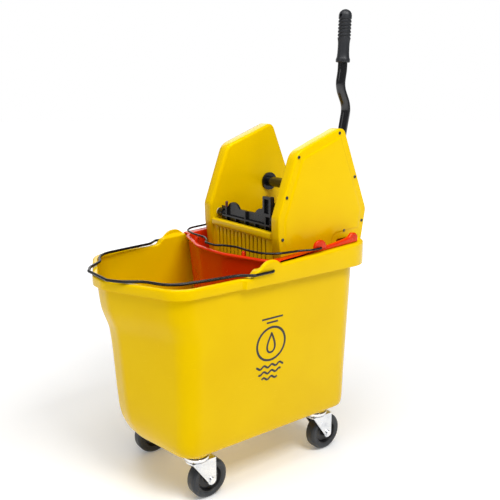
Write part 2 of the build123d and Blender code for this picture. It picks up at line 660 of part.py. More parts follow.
def race_cup():
    """Domed lower ball race, pressed on the fork's crown."""
    profile = [(7, 82), (19, 82), (22.5, 84.2), (24.2, 87.5), (24.0, 91.0), (21.8, 91.0), (21.2, 84.4),
               (7, 84.4)]
    return ring([(r, 0, z) for r, z in profile], Axis.Z)


def race_balls():
    balls = [Pos(16.2 * cos(a), 16.2 * sin(a), 87.4) * Sphere(2.8)
             for a in (2 * pi * k / 14 for k in range(14))]
    return Compound(children=balls)


def axle_bolt():
    bolt = rod_y(CASTER_TRAIL, WHEEL_R, -19.5, 19.5, AXLE_R)
    head = rod_y(CASTER_TRAIL, WHEEL_R, -20.6, -17.6, 5.6)
    nut = extrude(Plane(origin=(CASTER_TRAIL, 17.6, WHEEL_R), z_dir=(0, 1, 0)) * RegularPolygon(6.4, 6), 3.0)
    return bolt + head + nut


def caster_stem():
    """Plug-in stem: rivet head under the crown, plain journal and barbed top."""
    stem = rod_z(0, 0, 78.7, 124, STEM_R) + rod_z(0, 0, 75.6, 78.7, 7.4)
    return stem + rod_z(0, 0, 112, 116, 6.0)


def upper_race():
    race = rod_z(0, 0, 90.4, 92.4, 20.6)
    return race - rod_z(0, 0, 88, 95, STEM_R)


def stem_socket():
    socket = rod_z(0, 0, 92.6, 127.6, 7.95)
    return socket - rod_z(0, 0, 90, 125, STEM_R) - rod_z(0, 0, 111.8, 116.2, 6.0)


def caster_places():
    for end, x in CASTER_X.items():
        for name, side in SIDES.items():
            yield f"{end}_{name}", Pos(x, side * CASTER_Y, 0)


# ---- assembly -----------------------------------------------------------
def all_parts():
    pins = hub_pins()
    parts = {
        "bucket_shell": bucket_shell(),
        "bucket_bail": bucket_bail(),
        "insert_bucket": insert_bucket(),
        "insert_bail": insert_bail(),
        "wringer_basket": wringer_basket(),
        "near_tower_housing": near_housing(),
        "far_tower_housing": tower_housing(),
        "near_tower_cover": mirror(tower_cover(), Plane.XZ),
        "far_tower_cover": tower_cover(),
        "near_cover_screws": mirror(cover_screws(), Plane.XZ),
        "far_cover_screws": cover_screws(),
        "shaft_bushes": shaft_bushes(),
        "pivot_bushes": pivot_bushes(),
        "return_spring": return_spring(),
        "cross_shaft": drilled(cross_shaft(), pins),
        "shaft_collars": shaft_collars(),
        "lever_hub_gear": drilled(lever_hub(), pins),
        "far_drive_gear": drilled(far_drive_gear(), pins),
        "lever_tube": drilled(lever_tube(), pins),
        "lever_grip": lever_grip(),
        "hub_pins": pins,
        "press_jaw": press_jaw(),
        "jaw_block": jaw_block(),
        "jaw_peg": jaw_peg(),
        "jaw_pivot_pins": pivot_pins(),
        "near_jaw_sector": mirror(jaw_sector(), Plane.XZ),
        "far_jaw_sector": jaw_sector(),
        "sector_screws": sector_screws(),
    }
    places = dict(caster_places())
    parts["caster_stems"] = Compound(children=[p * caster_stem() for p in places.values()])
    parts["caster_upper_races"] = Compound(children=[p * upper_race() for p in places.values()])
    parts["caster_stem_sockets"] = Compound(children=[p * stem_socket() for p in places.values()])
    for name, place in places.items():
        wheel_place = place * Pos(CASTER_TRAIL, 0, WHEEL_R)
        parts[f"{name}_fork"] = place * fork()
        parts[f"{name}_race_cup"] = place * race_cup()
        parts[f"{name}_race_balls"] = place * race_balls()
        parts[f"{name}_axle_bolt"] = place * axle_bolt()
        parts[f"{name}_wheel_core"] = wheel_place * wheel_core()
        parts[f"{name}_tyre"] = wheel_place * tyre()
    return parts


def main():
    os.makedirs("parts", exist_ok=True)
    for name, shape in all_parts().items():
        export_step(Pos(-ORIGIN_X, 0, 0) * shape, f"parts/{name}.step")
    print("origin station", ORIGIN_X, "pivot", PIVOT_X, PIVOT_Z)


main()
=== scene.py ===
"""Looks of the mop bucket with its lever wringer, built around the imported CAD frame.

Shapes are worked out in millimetres at the stations that the parts share: X is
measured from the bail ears of the outer bucket, -X towards the pouring bow.
place() moves them into the frame, in metres. The lever's side, -Y, is "near".
"""
import json
from math import acos, cos, pi, radians, sin

import bmesh
import bpy
from mathutils import Matrix, Vector


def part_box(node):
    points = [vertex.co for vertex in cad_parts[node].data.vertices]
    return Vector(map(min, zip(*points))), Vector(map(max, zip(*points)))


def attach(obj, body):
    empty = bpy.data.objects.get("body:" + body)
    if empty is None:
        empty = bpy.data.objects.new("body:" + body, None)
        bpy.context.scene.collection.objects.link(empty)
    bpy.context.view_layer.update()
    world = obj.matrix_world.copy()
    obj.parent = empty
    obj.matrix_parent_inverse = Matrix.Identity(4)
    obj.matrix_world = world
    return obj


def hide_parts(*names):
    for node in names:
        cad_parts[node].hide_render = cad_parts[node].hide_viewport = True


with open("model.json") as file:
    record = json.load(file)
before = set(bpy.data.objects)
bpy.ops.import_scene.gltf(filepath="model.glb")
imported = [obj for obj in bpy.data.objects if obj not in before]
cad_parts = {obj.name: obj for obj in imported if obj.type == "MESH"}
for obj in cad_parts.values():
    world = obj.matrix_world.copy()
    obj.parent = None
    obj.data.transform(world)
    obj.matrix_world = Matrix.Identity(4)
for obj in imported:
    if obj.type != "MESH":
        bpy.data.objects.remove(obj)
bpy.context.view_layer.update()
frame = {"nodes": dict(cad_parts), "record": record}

# ---- shared sizes, in millimetres ----------------------------------------
MM = 0.001
SHAFT_X, SHAFT_Z = 193.0, 539.0
SHIFT_X = SHAFT_X - sum(corner.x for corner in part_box("cross_shaft")) / 2 / MM
SIDES = {"near": -1, "far": 1}

WALL = 3.5
FLOOR_Z = 98.0
SKIRT_Z = 402.0
FRONT_RIM_Z = 420.0
SKIRT_HALF_WIDTH = 165.9
LIP = 6.4                     # the front lip stands out this far
REAR_LIP = 18.8
SKIRT_STEP_X = -60.0
EAR_X, EAR_HALF, EAR_RISE = -5.0, 25.0, 12.2

TOWER_IN, TOWER_SEAM, TOWER_BORDER = 90.5, 118.0, 120.3
FLARE, FLARE_X0, FLARE_X1 = 5.5, 47.0, 140.0
TOWER_PROFILE = [(58, 402, 5), (48, 466, 30), (47, 503, 26), (90, 620, 30), (204, 663, 14),
                 (271.4, 501, 24), (263, 450.2, 5), (194, 447, 3), (194, 402, 5)]
PIVOT = (68.824, 486.034)
LEVER_Y = 104.0

CASTER_X = {"front": -124.0, "rear": 165.0}
CASTER_Y, TRAIL, WHEEL_R = 101.0, 22.0, 38.0
SOFT_EDGE_DEG = 38            # faces that meet at less than this shade as one


# ---- mesh tools -----------------------------------------------------------
def place(point):
    """Station millimetres to frame metres."""
    return Vector(((point[0] - SHIFT_X) * MM, point[1] * MM, point[2] * MM))


def piece(name, mesh, body, slot, replaces=(), sharp_deg=SOFT_EDGE_DEG):
    """Makes a smooth-shaded object from a bmesh in station millimetres and fixes it to its body."""
    bmesh.ops.remove_doubles(mesh, verts=mesh.verts, dist=0.01)
    bmesh.ops.recalc_face_normals(mesh, faces=mesh.faces)
    for vert in mesh.verts:
        vert.co = place(vert.co)
    data = bpy.data.meshes.new(name)
    mesh.to_mesh(data)
    mesh.free()
    data.polygons.foreach_set("use_smooth", [True] * len(data.polygons))
    data.set_sharp_from_angle(angle=radians(sharp_deg))
    obj = bpy.data.objects.new(name, data)
    bpy.context.scene.collection.objects.link(obj)
    obj.data.materials.append(MATERIALS[slot])
    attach(obj, body)
    if replaces:
        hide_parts(*replaces)
    return obj


def add_rows(mesh, rows, closed=True, cap_start=False, cap_end=False):
    """Quads between rows of points that have equal counts."""
    made = [[mesh.verts.new(point) for point in row] for row in rows]
    count = len(rows[0])
    for low, high in zip(made, made[1:]):
        for i in range(count if closed else count - 1):
            j = (i + 1) % count
            mesh.faces.new((low[i], low[j], high[j], high[i]))
    if cap_start:
        mesh.faces.new(list(reversed(made[0])))
    if cap_end:
        mesh.faces.new(made[-1])
    return made


def rounded(corners, arc_steps=8, splits=None):
    """Closed loop through (u, v, radius) corners, with optional extra points on its edges.

    splits[i] lists the shares along the edge that follows corner i.
    """
    loop, ends = [], []
    for i, (u, v, radius) in enumerate(corners):
        here = Vector((u, v))
        before = (Vector(corners[i - 1][:2]) - here).normalized()
        after = (Vector(corners[(i + 1) % len(corners)][:2]) - here).normalized()
        half = acos(max(-1.0, min(1.0, before.dot(after)))) / 2
        reach = radius / max(1e-6, abs(sin(half) / cos(half)))
        start, end = here + before * reach, here + after * reach
        centre = here + (before + after).normalized() * (radius / sin(half))
        first, last = start - centre, end - centre
        sweep = first.angle_signed(last, 0.0)
        arc = []
        for k in range(arc_steps + 1):
            turn = -sweep * k / arc_steps
            arc.append(centre + Matrix.Rotation(turn, 2) @ first)
        ends.append((arc[0], arc[-1]))
        loop.append(arc)
    points = []
    for i, arc in enumerate(loop):
        points += arc
        start, end = ends[i][1], ends[(i + 1) % len(loop)][0]
        points += [start.lerp(end, share) for share in (splits[i] if splits else ())]
    return [(p.x, p.y) for p in points]


def outward(loop):
    """Unit normals of a closed clockwise loop, pointing out of it."""
    normals = []
    for i in range(len(loop)):
        before, after = Vector(loop[i - 1]), Vector(loop[(i + 1) % len(loop)])
        along = (after - before).normalized()
        normals.append((-along.y, along.x))
    return normals


def smooth_through(knots, at):
    """Monotone cubic through (position, value...) knots: no overshoot between them."""
    xs = [k[0] for k in knots]
    at = min(max(at, xs[0]), xs[-1])
    i = max(k for k in range(len(xs) - 1) if xs[k] <= at)
    span, t = xs[i + 1] - xs[i], (at - xs[i]) / (xs[i + 1] - xs[i])
    values = []
    for column in range(1, len(knots[0])):
        ys = [k[column] for k in knots]
        steps = [(ys[k + 1] - ys[k]) / (xs[k + 1] - xs[k]) for k in range(len(xs) - 1)]

        def slope(k):
            if k in (0, len(xs) - 1):
                return steps[0] if k == 0 else steps[-1]
            a, b = steps[k - 1], steps[k]
            return 0.0 if a * b <= 0 else 2 * a * b / (a + b)
        m0, m1 = slope(i) * span, slope(i + 1) * span
        values.append((2 * t**3 - 3 * t**2 + 1) * ys[i] + (t**3 - 2 * t**2 + t) * m0
                      + (-2 * t**3 + 3 * t**2) * ys[i + 1] + (t**3 - t**2) * m1)
    return values


def ease(low, high, at):
    """0 before low, 1 after high, smooth between."""
    t = min(1.0, max(0.0, (at - low) / (high - low)))
    return t * t * (3 - 2 * t)


# ---- materials ------------------------------------------------------------
class Shader:
    """A Principled material with small helpers that add nodes to it."""

    def __init__(self, name, **constants):
        self.material = bpy.data.materials.new(name)
        self.material.use_nodes = True
        self.tree = self.material.node_tree
        self.bsdf = self.tree.nodes["Principled BSDF"]
        for socket, value in constants.items():
            self.bsdf.inputs[socket.replace("_", " ")].default_value = value
        self.where = self.tree.nodes.new("ShaderNodeTexCoord").outputs["Object"]

    def link(self, output, target):
        self.tree.links.new(output, target)

    def stretched(self, scale):
        node = self.tree.nodes.new("ShaderNodeMapping")
        node.inputs["Scale"].default_value = scale
        self.link(self.where, node.inputs["Vector"])
        return node.outputs["Vector"]

    def noise(self, scale, detail=3.0, vector=None, roughness=0.5):
        node = self.tree.nodes.new("ShaderNodeTexNoise")
        node.inputs["Scale"].default_value = scale
        node.inputs["Detail"].default_value = detail
        node.inputs["Roughness"].default_value = roughness
        self.link(vector or self.where, node.inputs["Vector"])
        return node.outputs["Fac"]

    def cells(self, scale, output="Distance"):
        node = self.tree.nodes.new("ShaderNodeTexVoronoi")
        node.inputs["Scale"].default_value = scale
        self.link(self.where, node.inputs["Vector"])
        return node.outputs[output]

    def ranged(self, value, from_low, from_high, to_low, to_high):
        node = self.tree.nodes.new("ShaderNodeMapRange")
        for socket, number in zip(("From Min", "From Max", "To Min", "To Max"),
                                  (from_low, from_high, to_low, to_high)):
            node.inputs[socket].default_value = number
        self.link(value, node.inputs["Value"])
        return node.outputs["Result"]

    def added(self, first, second, kind="ADD"):
        node = self.tree.nodes.new("ShaderNodeMath")
        node.operation = kind
        self.link(first, node.inputs[0])
        self.link(second, node.inputs[1])
        return node.outputs["Value"]

    def mixed(self, share, first, second):
        """Colour between two; each is a colour or the output of another mix."""
        node = self.tree.nodes.new("ShaderNodeMix")
        node.data_type = "RGBA"
        self.link(share, node.inputs["Factor"])
        for socket, colour in zip((node.inputs[6], node.inputs[7]), (first, second)):
            if isinstance(colour, tuple):
                socket.default_value = (*colour, 1.0)
            else:
                self.link(colour, socket)
        return node.outputs[2]

    def bumped(self, layers):
        """Stacks (height, strength, distance in metres) layers into the normal."""
        normal = None
        for height, strength, distance in layers:
            node = self.tree.nodes.new("ShaderNodeBump")
            node.inputs["Strength"].default_value = strength
            node.inputs["Distance"].default_value = distance
            self.link(height, node.inputs["Height"])
            if normal:
                self.link(normal, node.inputs["Normal"])
            normal = node.outputs["Normal"]
        self.link(normal, self.bsdf.inputs["Normal"])

    def finish(self, colour, roughness):
        self.link(colour, self.bsdf.inputs["Base Color"])
        self.link(roughness, self.bsdf.inputs["Roughness"])
        return self.material


def scuffs(shader, amount):
    """Fine scratches in two directions, where patches of handling wear lie."""
    patch = shader.ranged(shader.noise(9.0, 2.0), 0.5, 0.68, 0.0, 1.0)
    across = shader.noise(1.0, 4.0, shader.stretched((40, 40, 900)))
    down = shader.noise(1.0, 4.0, shader.stretched((900, 700, 30)))
    lines = shader.added(shader.ranged(across, 0.66, 0.74, 0.0, amount),
                         shader.ranged(down, 0.68, 0.76, 0.0, amount))
    return shader.added(patch, lines, "MULTIPLY")


def plastic(name, colour, deep, worn, rough, sinks=0.16, **constants):
    """Moulded plastic: uneven pigment, slow sink marks, orange peel and light scuffs."""
    shader = Shader(name, **constants)
    marks = scuffs(shader, 1.0)
    pigment = shader.mixed(shader.ranged(shader.noise(7.0, 3.0), 0.35, 0.7, 0.0, 1.0), colour, deep)
    specks = shader.ranged(shader.noise(420.0, 2.0), 0.7, 0.8, 0.0, 0.35)
    pigment = shader.mixed(specks, pigment, worn)
    pigment = shader.mixed(shader.ranged(marks, 0.0, 1.0, 0.0, 0.3), pigment, worn)
    gloss = shader.ranged(shader.noise(34.0, 4.0), 0.3, 0.7, rough - 0.05, rough + 0.06)
    gloss = shader.added(gloss, shader.ranged(marks, 0.0, 1.0, 0.0, 0.22))
    shader.bumped([(shader.noise(16.0, 1.0), sinks, 0.0012),
                   (shader.noise(1500.0, 2.0), 0.10, 0.00012),
                   (marks, -0.12, 0.00005)])
    return shader.finish(pigment, gloss)


def plated(name, colour, dark, rough, **constants):
    """Bright plating over pressed steel: spangle, a soft haze and dull rubbed patches."""
    shader = Shader(name, Metallic=1.0, **constants)
    spangle = shader.ranged(shader.cells(520.0, "Color"), 0.0, 1.0, 0.0, 1.0)
    haze = shader.ranged(shader.noise(60.0, 4.0), 0.35, 0.7, 0.0, 1.0)
    tone = shader.mixed(shader.added(spangle, haze, "MULTIPLY"), colour, dark)
    gloss = shader.added(shader.ranged(haze, 0.0, 1.0, rough, rough + 0.14),
                         shader.ranged(spangle, 0.0, 1.0, 0.0, 0.06))
    shader.bumped([(shader.noise(220.0, 3.0), 0.22, 0.00015), (shader.noise(1800.0, 2.0), 0.15, 0.00006)])
    return shader.finish(tone, gloss)


def enamel(name, colour, worn, rough, **constants):
    """Glossy black paint over steel: slight runs and a few rubbed specks."""
    shader = Shader(name, **constants)
    rubbed = shader.ranged(shader.noise(130.0, 5.0), 0.66, 0.74, 0.0, 1.0)
    tone = shader.mixed(rubbed, colour, worn)
    gloss = shader.added(shader.ranged(shader.noise(40.0, 3.0), 0.3, 0.7, rough - 0.04, rough + 0.06),
                         shader.ranged(rubbed, 0.0, 1.0, 0.0, 0.2))
    shader.bumped([(shader.noise(55.0, 2.0), 0.35, 0.00035), (shader.noise(1200.0, 2.0), 0.12, 0.00008)])
    return shader.finish(tone, gloss)


def rubber(name, colour, dusty, rough):
    """Tyre rubber: matt, faintly dusty, with the fine grain of its mould."""
    shader = Shader(name)
    dust = shader.ranged(shader.noise(45.0, 5.0), 0.45, 0.75, 0.0, 0.8)
    tone = shader.mixed(dust, colour, dusty)
    gloss = shader.ranged(shader.noise(90.0, 3.0), 0.3, 0.7, rough - 0.08, rough + 0.1)
    shader.bumped([(shader.noise(300.0, 3.0), 0.3, 0.0002), (shader.cells(1400.0), 0.15, 0.0001)])
    return shader.finish(tone, gloss)


def cast_iron(name, colour, greased, rough):
    """Machined gear steel with a thin film of grease."""
    shader = Shader(name, Metallic=0.9)
    film = shader.ranged(shader.noise(80.0, 4.0), 0.4, 0.7, 0.0, 1.0)
    gloss = shader.ranged(film, 0.0, 1.0, rough, rough - 0.18)
    shader.bumped([(shader.noise(700.0, 3.0), 0.35, 0.00015)])
    return shader.finish(shader.mixed(film, colour, greased), gloss)


def printed(name, colour):
    """Thin printed ink with slightly uneven cover."""
    shader = Shader(name)
    cover = shader.ranged(shader.noise(600.0, 3.0), 0.35, 0.75, 0.0, 0.5)
    tone = shader.mixed(cover, colour, (0.05, 0.04, 0.02))
    shader.bumped([(shader.noise(900.0, 2.0), 0.2, 0.00005)])
    return shader.finish(tone, shader.ranged(cover, 0.0, 0.5, 0.32, 0.5))


MATERIALS = {
    "yellow_plastic": plastic("yellow_plastic", (0.80, 0.525, 0.0), (0.76, 0.48, 0.0),
                              (0.86, 0.60, 0.0), 0.20, Specular_IOR_Level=0.4,
                              Specular_Tint=(1.0, 0.85, 0.0, 1.0)),
    "red_plastic": plastic("red_plastic", (0.70, 0.026, 0.001), (0.61, 0.018, 0.001),
                           (0.80, 0.11, 0.03), 0.22, Specular_Tint=(1.0, 0.62, 0.30, 1.0)),
    "black_wire": enamel("black_wire", (0.006, 0.006, 0.006), (0.04, 0.035, 0.03), 0.24,
                         Specular_IOR_Level=0.35),
    "black_plastic": plastic("black_plastic", (0.006, 0.006, 0.007), (0.009, 0.009, 0.010),
                             (0.035, 0.038, 0.045), 0.26, Specular_IOR_Level=0.35),
    "red_brown_plastic": plastic("red_brown_plastic", (0.11, 0.018, 0.012), (0.07, 0.014, 0.01),
                                 (0.2, 0.08, 0.06), 0.42),
    "black_coated_steel": enamel("black_coated_steel", (0.006, 0.006, 0.007),
                                 (0.03, 0.03, 0.033), 0.16, Coat_Weight=0.3,
                                 Coat_Roughness=0.10),
    "grip_plastic": plastic("grip_plastic", (0.016, 0.018, 0.021), (0.012, 0.013, 0.016),
                            (0.05, 0.055, 0.06), 0.44, Specular_IOR_Level=0.4),
    "bearing_nylon": plastic("bearing_nylon", (0.62, 0.60, 0.54), (0.55, 0.52, 0.46),
                             (0.72, 0.70, 0.66), 0.42),
    "gear_iron": cast_iron("gear_iron", (0.18, 0.18, 0.19), (0.08, 0.07, 0.06), 0.45),
    "zinc_steel": plated("zinc_steel", (0.80, 0.82, 0.85), (0.55, 0.58, 0.63), 0.22),
    "bright_steel": plated("bright_steel", (0.86, 0.87, 0.90), (0.62, 0.63, 0.68), 0.10),
    "grey_rubber": rubber("grey_rubber", (0.016, 0.019, 0.024), (0.032, 0.036, 0.043), 0.40),
    "wheel_black": plastic("wheel_black", (0.012, 0.012, 0.014), (0.018, 0.018, 0.02),
                           (0.07, 0.07, 0.08), 0.38),
}
INK = printed("mark_ink", (0.012, 0.010, 0.008))


def finish_cad_nodes():
    """Gives every CAD node the finish that the record names for it."""
    for subpart in frame["record"]["subparts"]:
        data = frame["nodes"][subpart["node"]].data
        data.materials.clear()
        data.materials.append(MATERIALS[subpart["material_slot"]])


# ---- outer bucket ---------------------------------------------------------
NOSE_HALF_WIDTH = 16.0
# height: rear wall, rear corner radius, half width, front corner, its radius, nose of the bow
BODY_KNOTS = [
    (98.0, 227.5, 34, 131.0, -160.0, 34, -178.0),
    (118.0, 227.5, 34, 134.0, -163.0, 38, -196.0),
    (160.0, 227.5, 36, 136.5, -160.0, 44, -213.0),
    (315.0, 227.5, 42, 147.5, -166.0, 48, -226.0),
    (365.0, 227.5, 44, 151.0, -178.0, 50, -241.0),
    (455.0, 228.0, 45, 155.0, -184.0, 50, -249.0),
]
SIDE_STATIONS = sorted({*range(-130, 171, 30), *range(-34, 26, 3), -37, -40, -43, -46, -50, -54,
                        -57, -58.5, -60, -61.5, -63, -66}, reverse=True)


def mirrored(half):
    """Plan corners of a loop that is symmetric about y = 0, from its near half."""
    return half + [(x, -y, r) for x, y, r in reversed(half)]


def body_plan(z):
    """Outline of the bucket's outside at a height, with extra points where its rim changes."""
    rear, rear_r, half, corner, corner_r, nose = smooth_through(BODY_KNOTS, z)
    half_plan = [(rear, -half, rear_r), (corner, -half, corner_r), (nose, -NOSE_HALF_WIDTH, 34)]
    start, end = rear - rear_r, corner + corner_r * 0.55
    shares = [(start - x) / (start - end) for x in SIDE_STATIONS if end < x < start]
    bow = [i / 10 for i in range(1, 10)]
    nose_face = [i / 4 for i in range(1, 4)]
    back = [i / 12 for i in range(1, 12)]
    splits = [shares, bow, nose_face, bow, [1 - s for s in reversed(shares)], back]
    return rounded(mirrored(half_plan), 10, splits)


def grown(loop, amounts, z):
    """The loop moved outwards by a distance for each point, at the heights z."""
    normals = outward(loop)
    amounts = amounts if isinstance(amounts, list) else [amounts] * len(loop)
    z = z if isinstance(z, list) else [z] * len(loop)
    return [(x + nx * d, y + ny * d, height)
            for (x, y), (nx, ny), d, height in zip(loop, normals, amounts, z)]


def rear_rim_z(x):
    return 434.0 + 0.06 * x


def rim_top(x):
    """Height of the rim, which steps up to its rising rear part behind the bail."""
    return FRONT_RIM_Z + (rear_rim_z(max(x, -34)) - FRONT_RIM_Z) * ease(-48, -32, x)


def ear_rise(x):
    """How far the bail ear's rounded top stands over the rim."""
    reach = abs(x - EAR_X) / EAR_HALF
    return EAR_RISE * max(0.0, 1 - reach**2.4) ** 1.25 if reach < 1 else 0.0


def rim_reach(point, normal):
    """How far the lip stands out: narrow round the front, a deep skirt at the rear."""
    side = SKIRT_HALF_WIDTH - abs(point[1])
    skirt = side + (REAR_LIP - side) * max(0.0, normal[0]) ** 1.5
    return LIP + (skirt - LIP) * ease(SKIRT_STEP_X - 2.5, SKIRT_STEP_X + 2.5, point[0])


def bucket_rim_rows():
    """Rows from the outer wall, round the hanging lip and over the rim to the inner wall."""
    base = body_plan(FRONT_RIM_Z + 5)
    normals = outward(base)
    reach = [rim_reach(p, n) for p, n in zip(base, normals)]
    level = [rim_top(x) for x, _ in base]
    ear = [z + (ear_rise(x) if abs(y) > 145 else 0.0) for (x, y), z in zip(base, level)]

    def row(in_from_lip, heights):
        return grown(base, [r - in_from_lip for r in reach], heights)

    def flat(amount, drop):
        return grown(base, amount, [z - drop for z in level])
    rows = [flat(0.0, 5.0), flat(0.4, 3.9), flat(1.6, 3.3)]
    rows += [row(3.4, [z - 3.3 for z in level]), row(2.8, [z - 5.0 for z in level])]
    rows += [row(2.8, SKIRT_Z + 2.0), row(2.3, SKIRT_Z + 0.5), row(1.5, SKIRT_Z),
             row(0.6, SKIRT_Z + 0.5), row(0.1, SKIRT_Z + 2.2)]
    rows += [row(0.0, [z - 5.0 for z in ear])]
    for turn in (20, 45, 70, 90):
        a = radians(turn)
        rows.append(row(3.6 * (1 - cos(a)), [z - 3.6 * (1 - sin(a)) for z in ear]))
    for turn in (20, 50, 80):
        a = radians(turn)
        rows.append(row(5.4 + 1.6 * sin(a), [(z + (e - z) * max(0.0, cos(a)) ** 0.5)
                                              for z, e in zip(level, ear)]))
    rows += [flat(-1.2, 0.0), flat(-2.6, 0.5), flat(-3.3, 1.4), flat(-WALL, 3.4)]
    return rows


def bucket_body():
    """The whole tub: rounded floor edge, drafted walls, flared front, lip and ears."""
    mesh = bmesh.new()
    floor_r, inner_r = 7.0, 9.0
    rows = []
    for turn in (0, 22, 45, 67):
        a = radians(turn)
        z = FLOOR_Z + floor_r * (1 - cos(a))
        rows.append(grown(body_plan(z), -floor_r * (1 - sin(a)), z))
    heights = [105, 110, 116, 124, 134, 147, 162, 180, 205, 235, 265, 290, 303, 312, 319, 326, 333,
               340, 347, 354, 361, 368, 376, 386, 397, 408]
    rows += [grown(body_plan(z), hand_hold(body_plan(z), z), z) for z in heights]
    rows += bucket_rim_rows()
    rows += [grown(body_plan(z), -WALL, z) for z in reversed(heights[3:])]
    for turn in (70, 45, 20, 0):
        a = radians(turn)
        z = FLOOR_Z + 4 + inner_r * (1 - sin(a))
        rows.append(grown(body_plan(z), -WALL - inner_r * (1 - cos(a)), z))
    add_rows(mesh, rows, cap_start=True, cap_end=True)
    return piece("bucket_body", mesh, "bucket", "yellow_plastic", ["bucket_shell"])


def hand_hold(plan, z):
    """A shallow recess across the lower rear wall, to tip the bucket by."""
    return [-1.1 * ease(96, 90, abs(y)) * ease(150, 156, z) * ease(228, 222, z) if x > 220 else 0.0
            for x, y in plan]


def lathe(name, profile, centre, axis, body, slot, replaces=(), steps=64, sharp_deg=SOFT_EDGE_DEG):
    """Turns a closed (radius, along) profile about an axis through the centre."""
    mesh = bmesh.new()
    turn = Vector((0, 0, 1)).rotation_difference(Vector(axis)).to_matrix()
    rows = []
    for k in range(steps):
        a = 2 * pi * k / steps
        rows.append([Vector(centre) + turn @ Vector((r * cos(a), r * sin(a), h)) for r, h in profile])
    made = [[mesh.verts.new(p) for p in row] for row in rows]
    for k, row in enumerate(made):
        following = made[(k + 1) % steps]
        for i in range(len(profile)):
            j = (i + 1) % len(profile)
            if profile[i][0] == profile[j][0] == 0:
                continue
            mesh.faces.new((row[i], row[j], following[j], following[i]))
    return piece(name, mesh, body, slot, replaces, sharp_deg)


def caster_boss(name, x, y):
    """Round boss under the floor and its tall socket inside the tub."""
    under = [(8.0, 92.7), (20.6, 92.7), (22.3, 93.2), (22.9, 94.6), (22.9, 99.0), (8.0, 99.0)]
    inside = [(0, 99.0), (13.8, 99.0), (13.8, 103.0), (13.0, 105.0), (12.6, 129.6), (12.0, 131.3),
              (10.4, 132.0), (0, 132.0)]
    lathe(f"boss_{name}", under, (x, y, 0), (0, 0, 1), "bucket", "yellow_plastic")
    lathe(f"socket_dome_{name}", inside, (x, y, 0), (0, 0, 1), "bucket", "yellow_plastic")


# ---- towers ---------------------------------------------------------------
def inset_profile(profile, amount):
    """The tower outline drawn inwards, with its round corners kept concentric."""
    count = len(profile)
    area = sum(profile[i - 1][0] * profile[i][1] - profile[i][0] * profile[i - 1][1]
               for i in range(count))
    way = 1 if area > 0 else -1
    made = []
    for i in range(count):
        before, here, after = (Vector(profile[j % count][:2]) for j in (i - 1, i, i + 1))
        first, second = (here - before).normalized(), (after - here).normalized()
        n1, n2 = way * Vector((-first.y, first.x)), way * Vector((-second.y, second.x))
        corner = here + (n1 + n2) * (amount / (1 + n1.dot(n2)))
        bend = way * (first.x * second.y - first.y * second.x)
        radius = profile[i][2] + (-amount if bend > 0 else amount)
        made.append((corner.x, corner.y, max(0.8, radius)))
    return made


def tower_row(inset, y, side):
    return [(x, side * y, z) for x, z in rounded(inset_profile(TOWER_PROFILE, inset), 12)]


def flared(mesh, side):
    """Slants the front of the inner face outwards, from a crease across the tower."""
    geometry = mesh.verts[:] + mesh.edges[:] + mesh.faces[:]
    bmesh.ops.bisect_plane(mesh, geom=geometry, plane_co=(FLARE_X1, 0, 0), plane_no=(1, 0, 0))
    for vert in mesh.verts:
        depth = abs(vert.co.y)
        ahead = max(0.0, FLARE_X1 - vert.co.x) / (FLARE_X1 - FLARE_X0)
        vert.co.y += side * FLARE * ahead * min(1.0, max(0.0, (117 - depth) / 18))


def cut(obj, *cutters):
    """Takes closed cutter objects away from a piece, and removes them."""
    for cutter in cutters:
        modifier = obj.modifiers.new("cut", "BOOLEAN")
        modifier.object, modifier.operation, modifier.solver = cutter, "DIFFERENCE", "EXACT"
        bpy.context.view_layer.update()
        graph = bpy.context.evaluated_depsgraph_get()
        data = bpy.data.meshes.new_from_object(obj.evaluated_get(graph))
        obj.modifiers.clear()
        obj.data = data
        bpy.data.objects.remove(cutter)
    obj.data.polygons.foreach_set("use_smooth", [True] * len(obj.data.polygons))
    obj.data.set_sharp_from_angle(angle=radians(SOFT_EDGE_DEG))


def cutter(points_low, points_high):
    mesh = bmesh.new()
    add_rows(mesh, [points_low, points_high], cap_start=True, cap_end=True)
    bmesh.ops.recalc_face_normals(mesh, faces=mesh.faces)
    for vert in mesh.verts:
        vert.co = place(vert.co)
    data = bpy.data.meshes.new("cutter")
    mesh.to_mesh(data)
    mesh.free()
    obj = bpy.data.objects.new("cutter", data)
    bpy.context.scene.collection.objects.link(obj)
    return obj


def round_cutter(x, z, y0, y1, radius, steps=40):
    ring = [(x + radius * cos(2 * pi * k / steps), z + radius * sin(2 * pi * k / steps))
            for k in range(steps)]
    return cutter([(u, y0, v) for u, v in ring], [(u, y1, v) for u, v in ring])


def block_cutter(x0, x1, y0, y1, z0, z1):
    low = [(x0, y0, z0), (x1, y0, z0), (x1, y1, z0), (x0, y1, z0)]
    return cutter(low, [(x, y, z1) for x, y, _ in low])


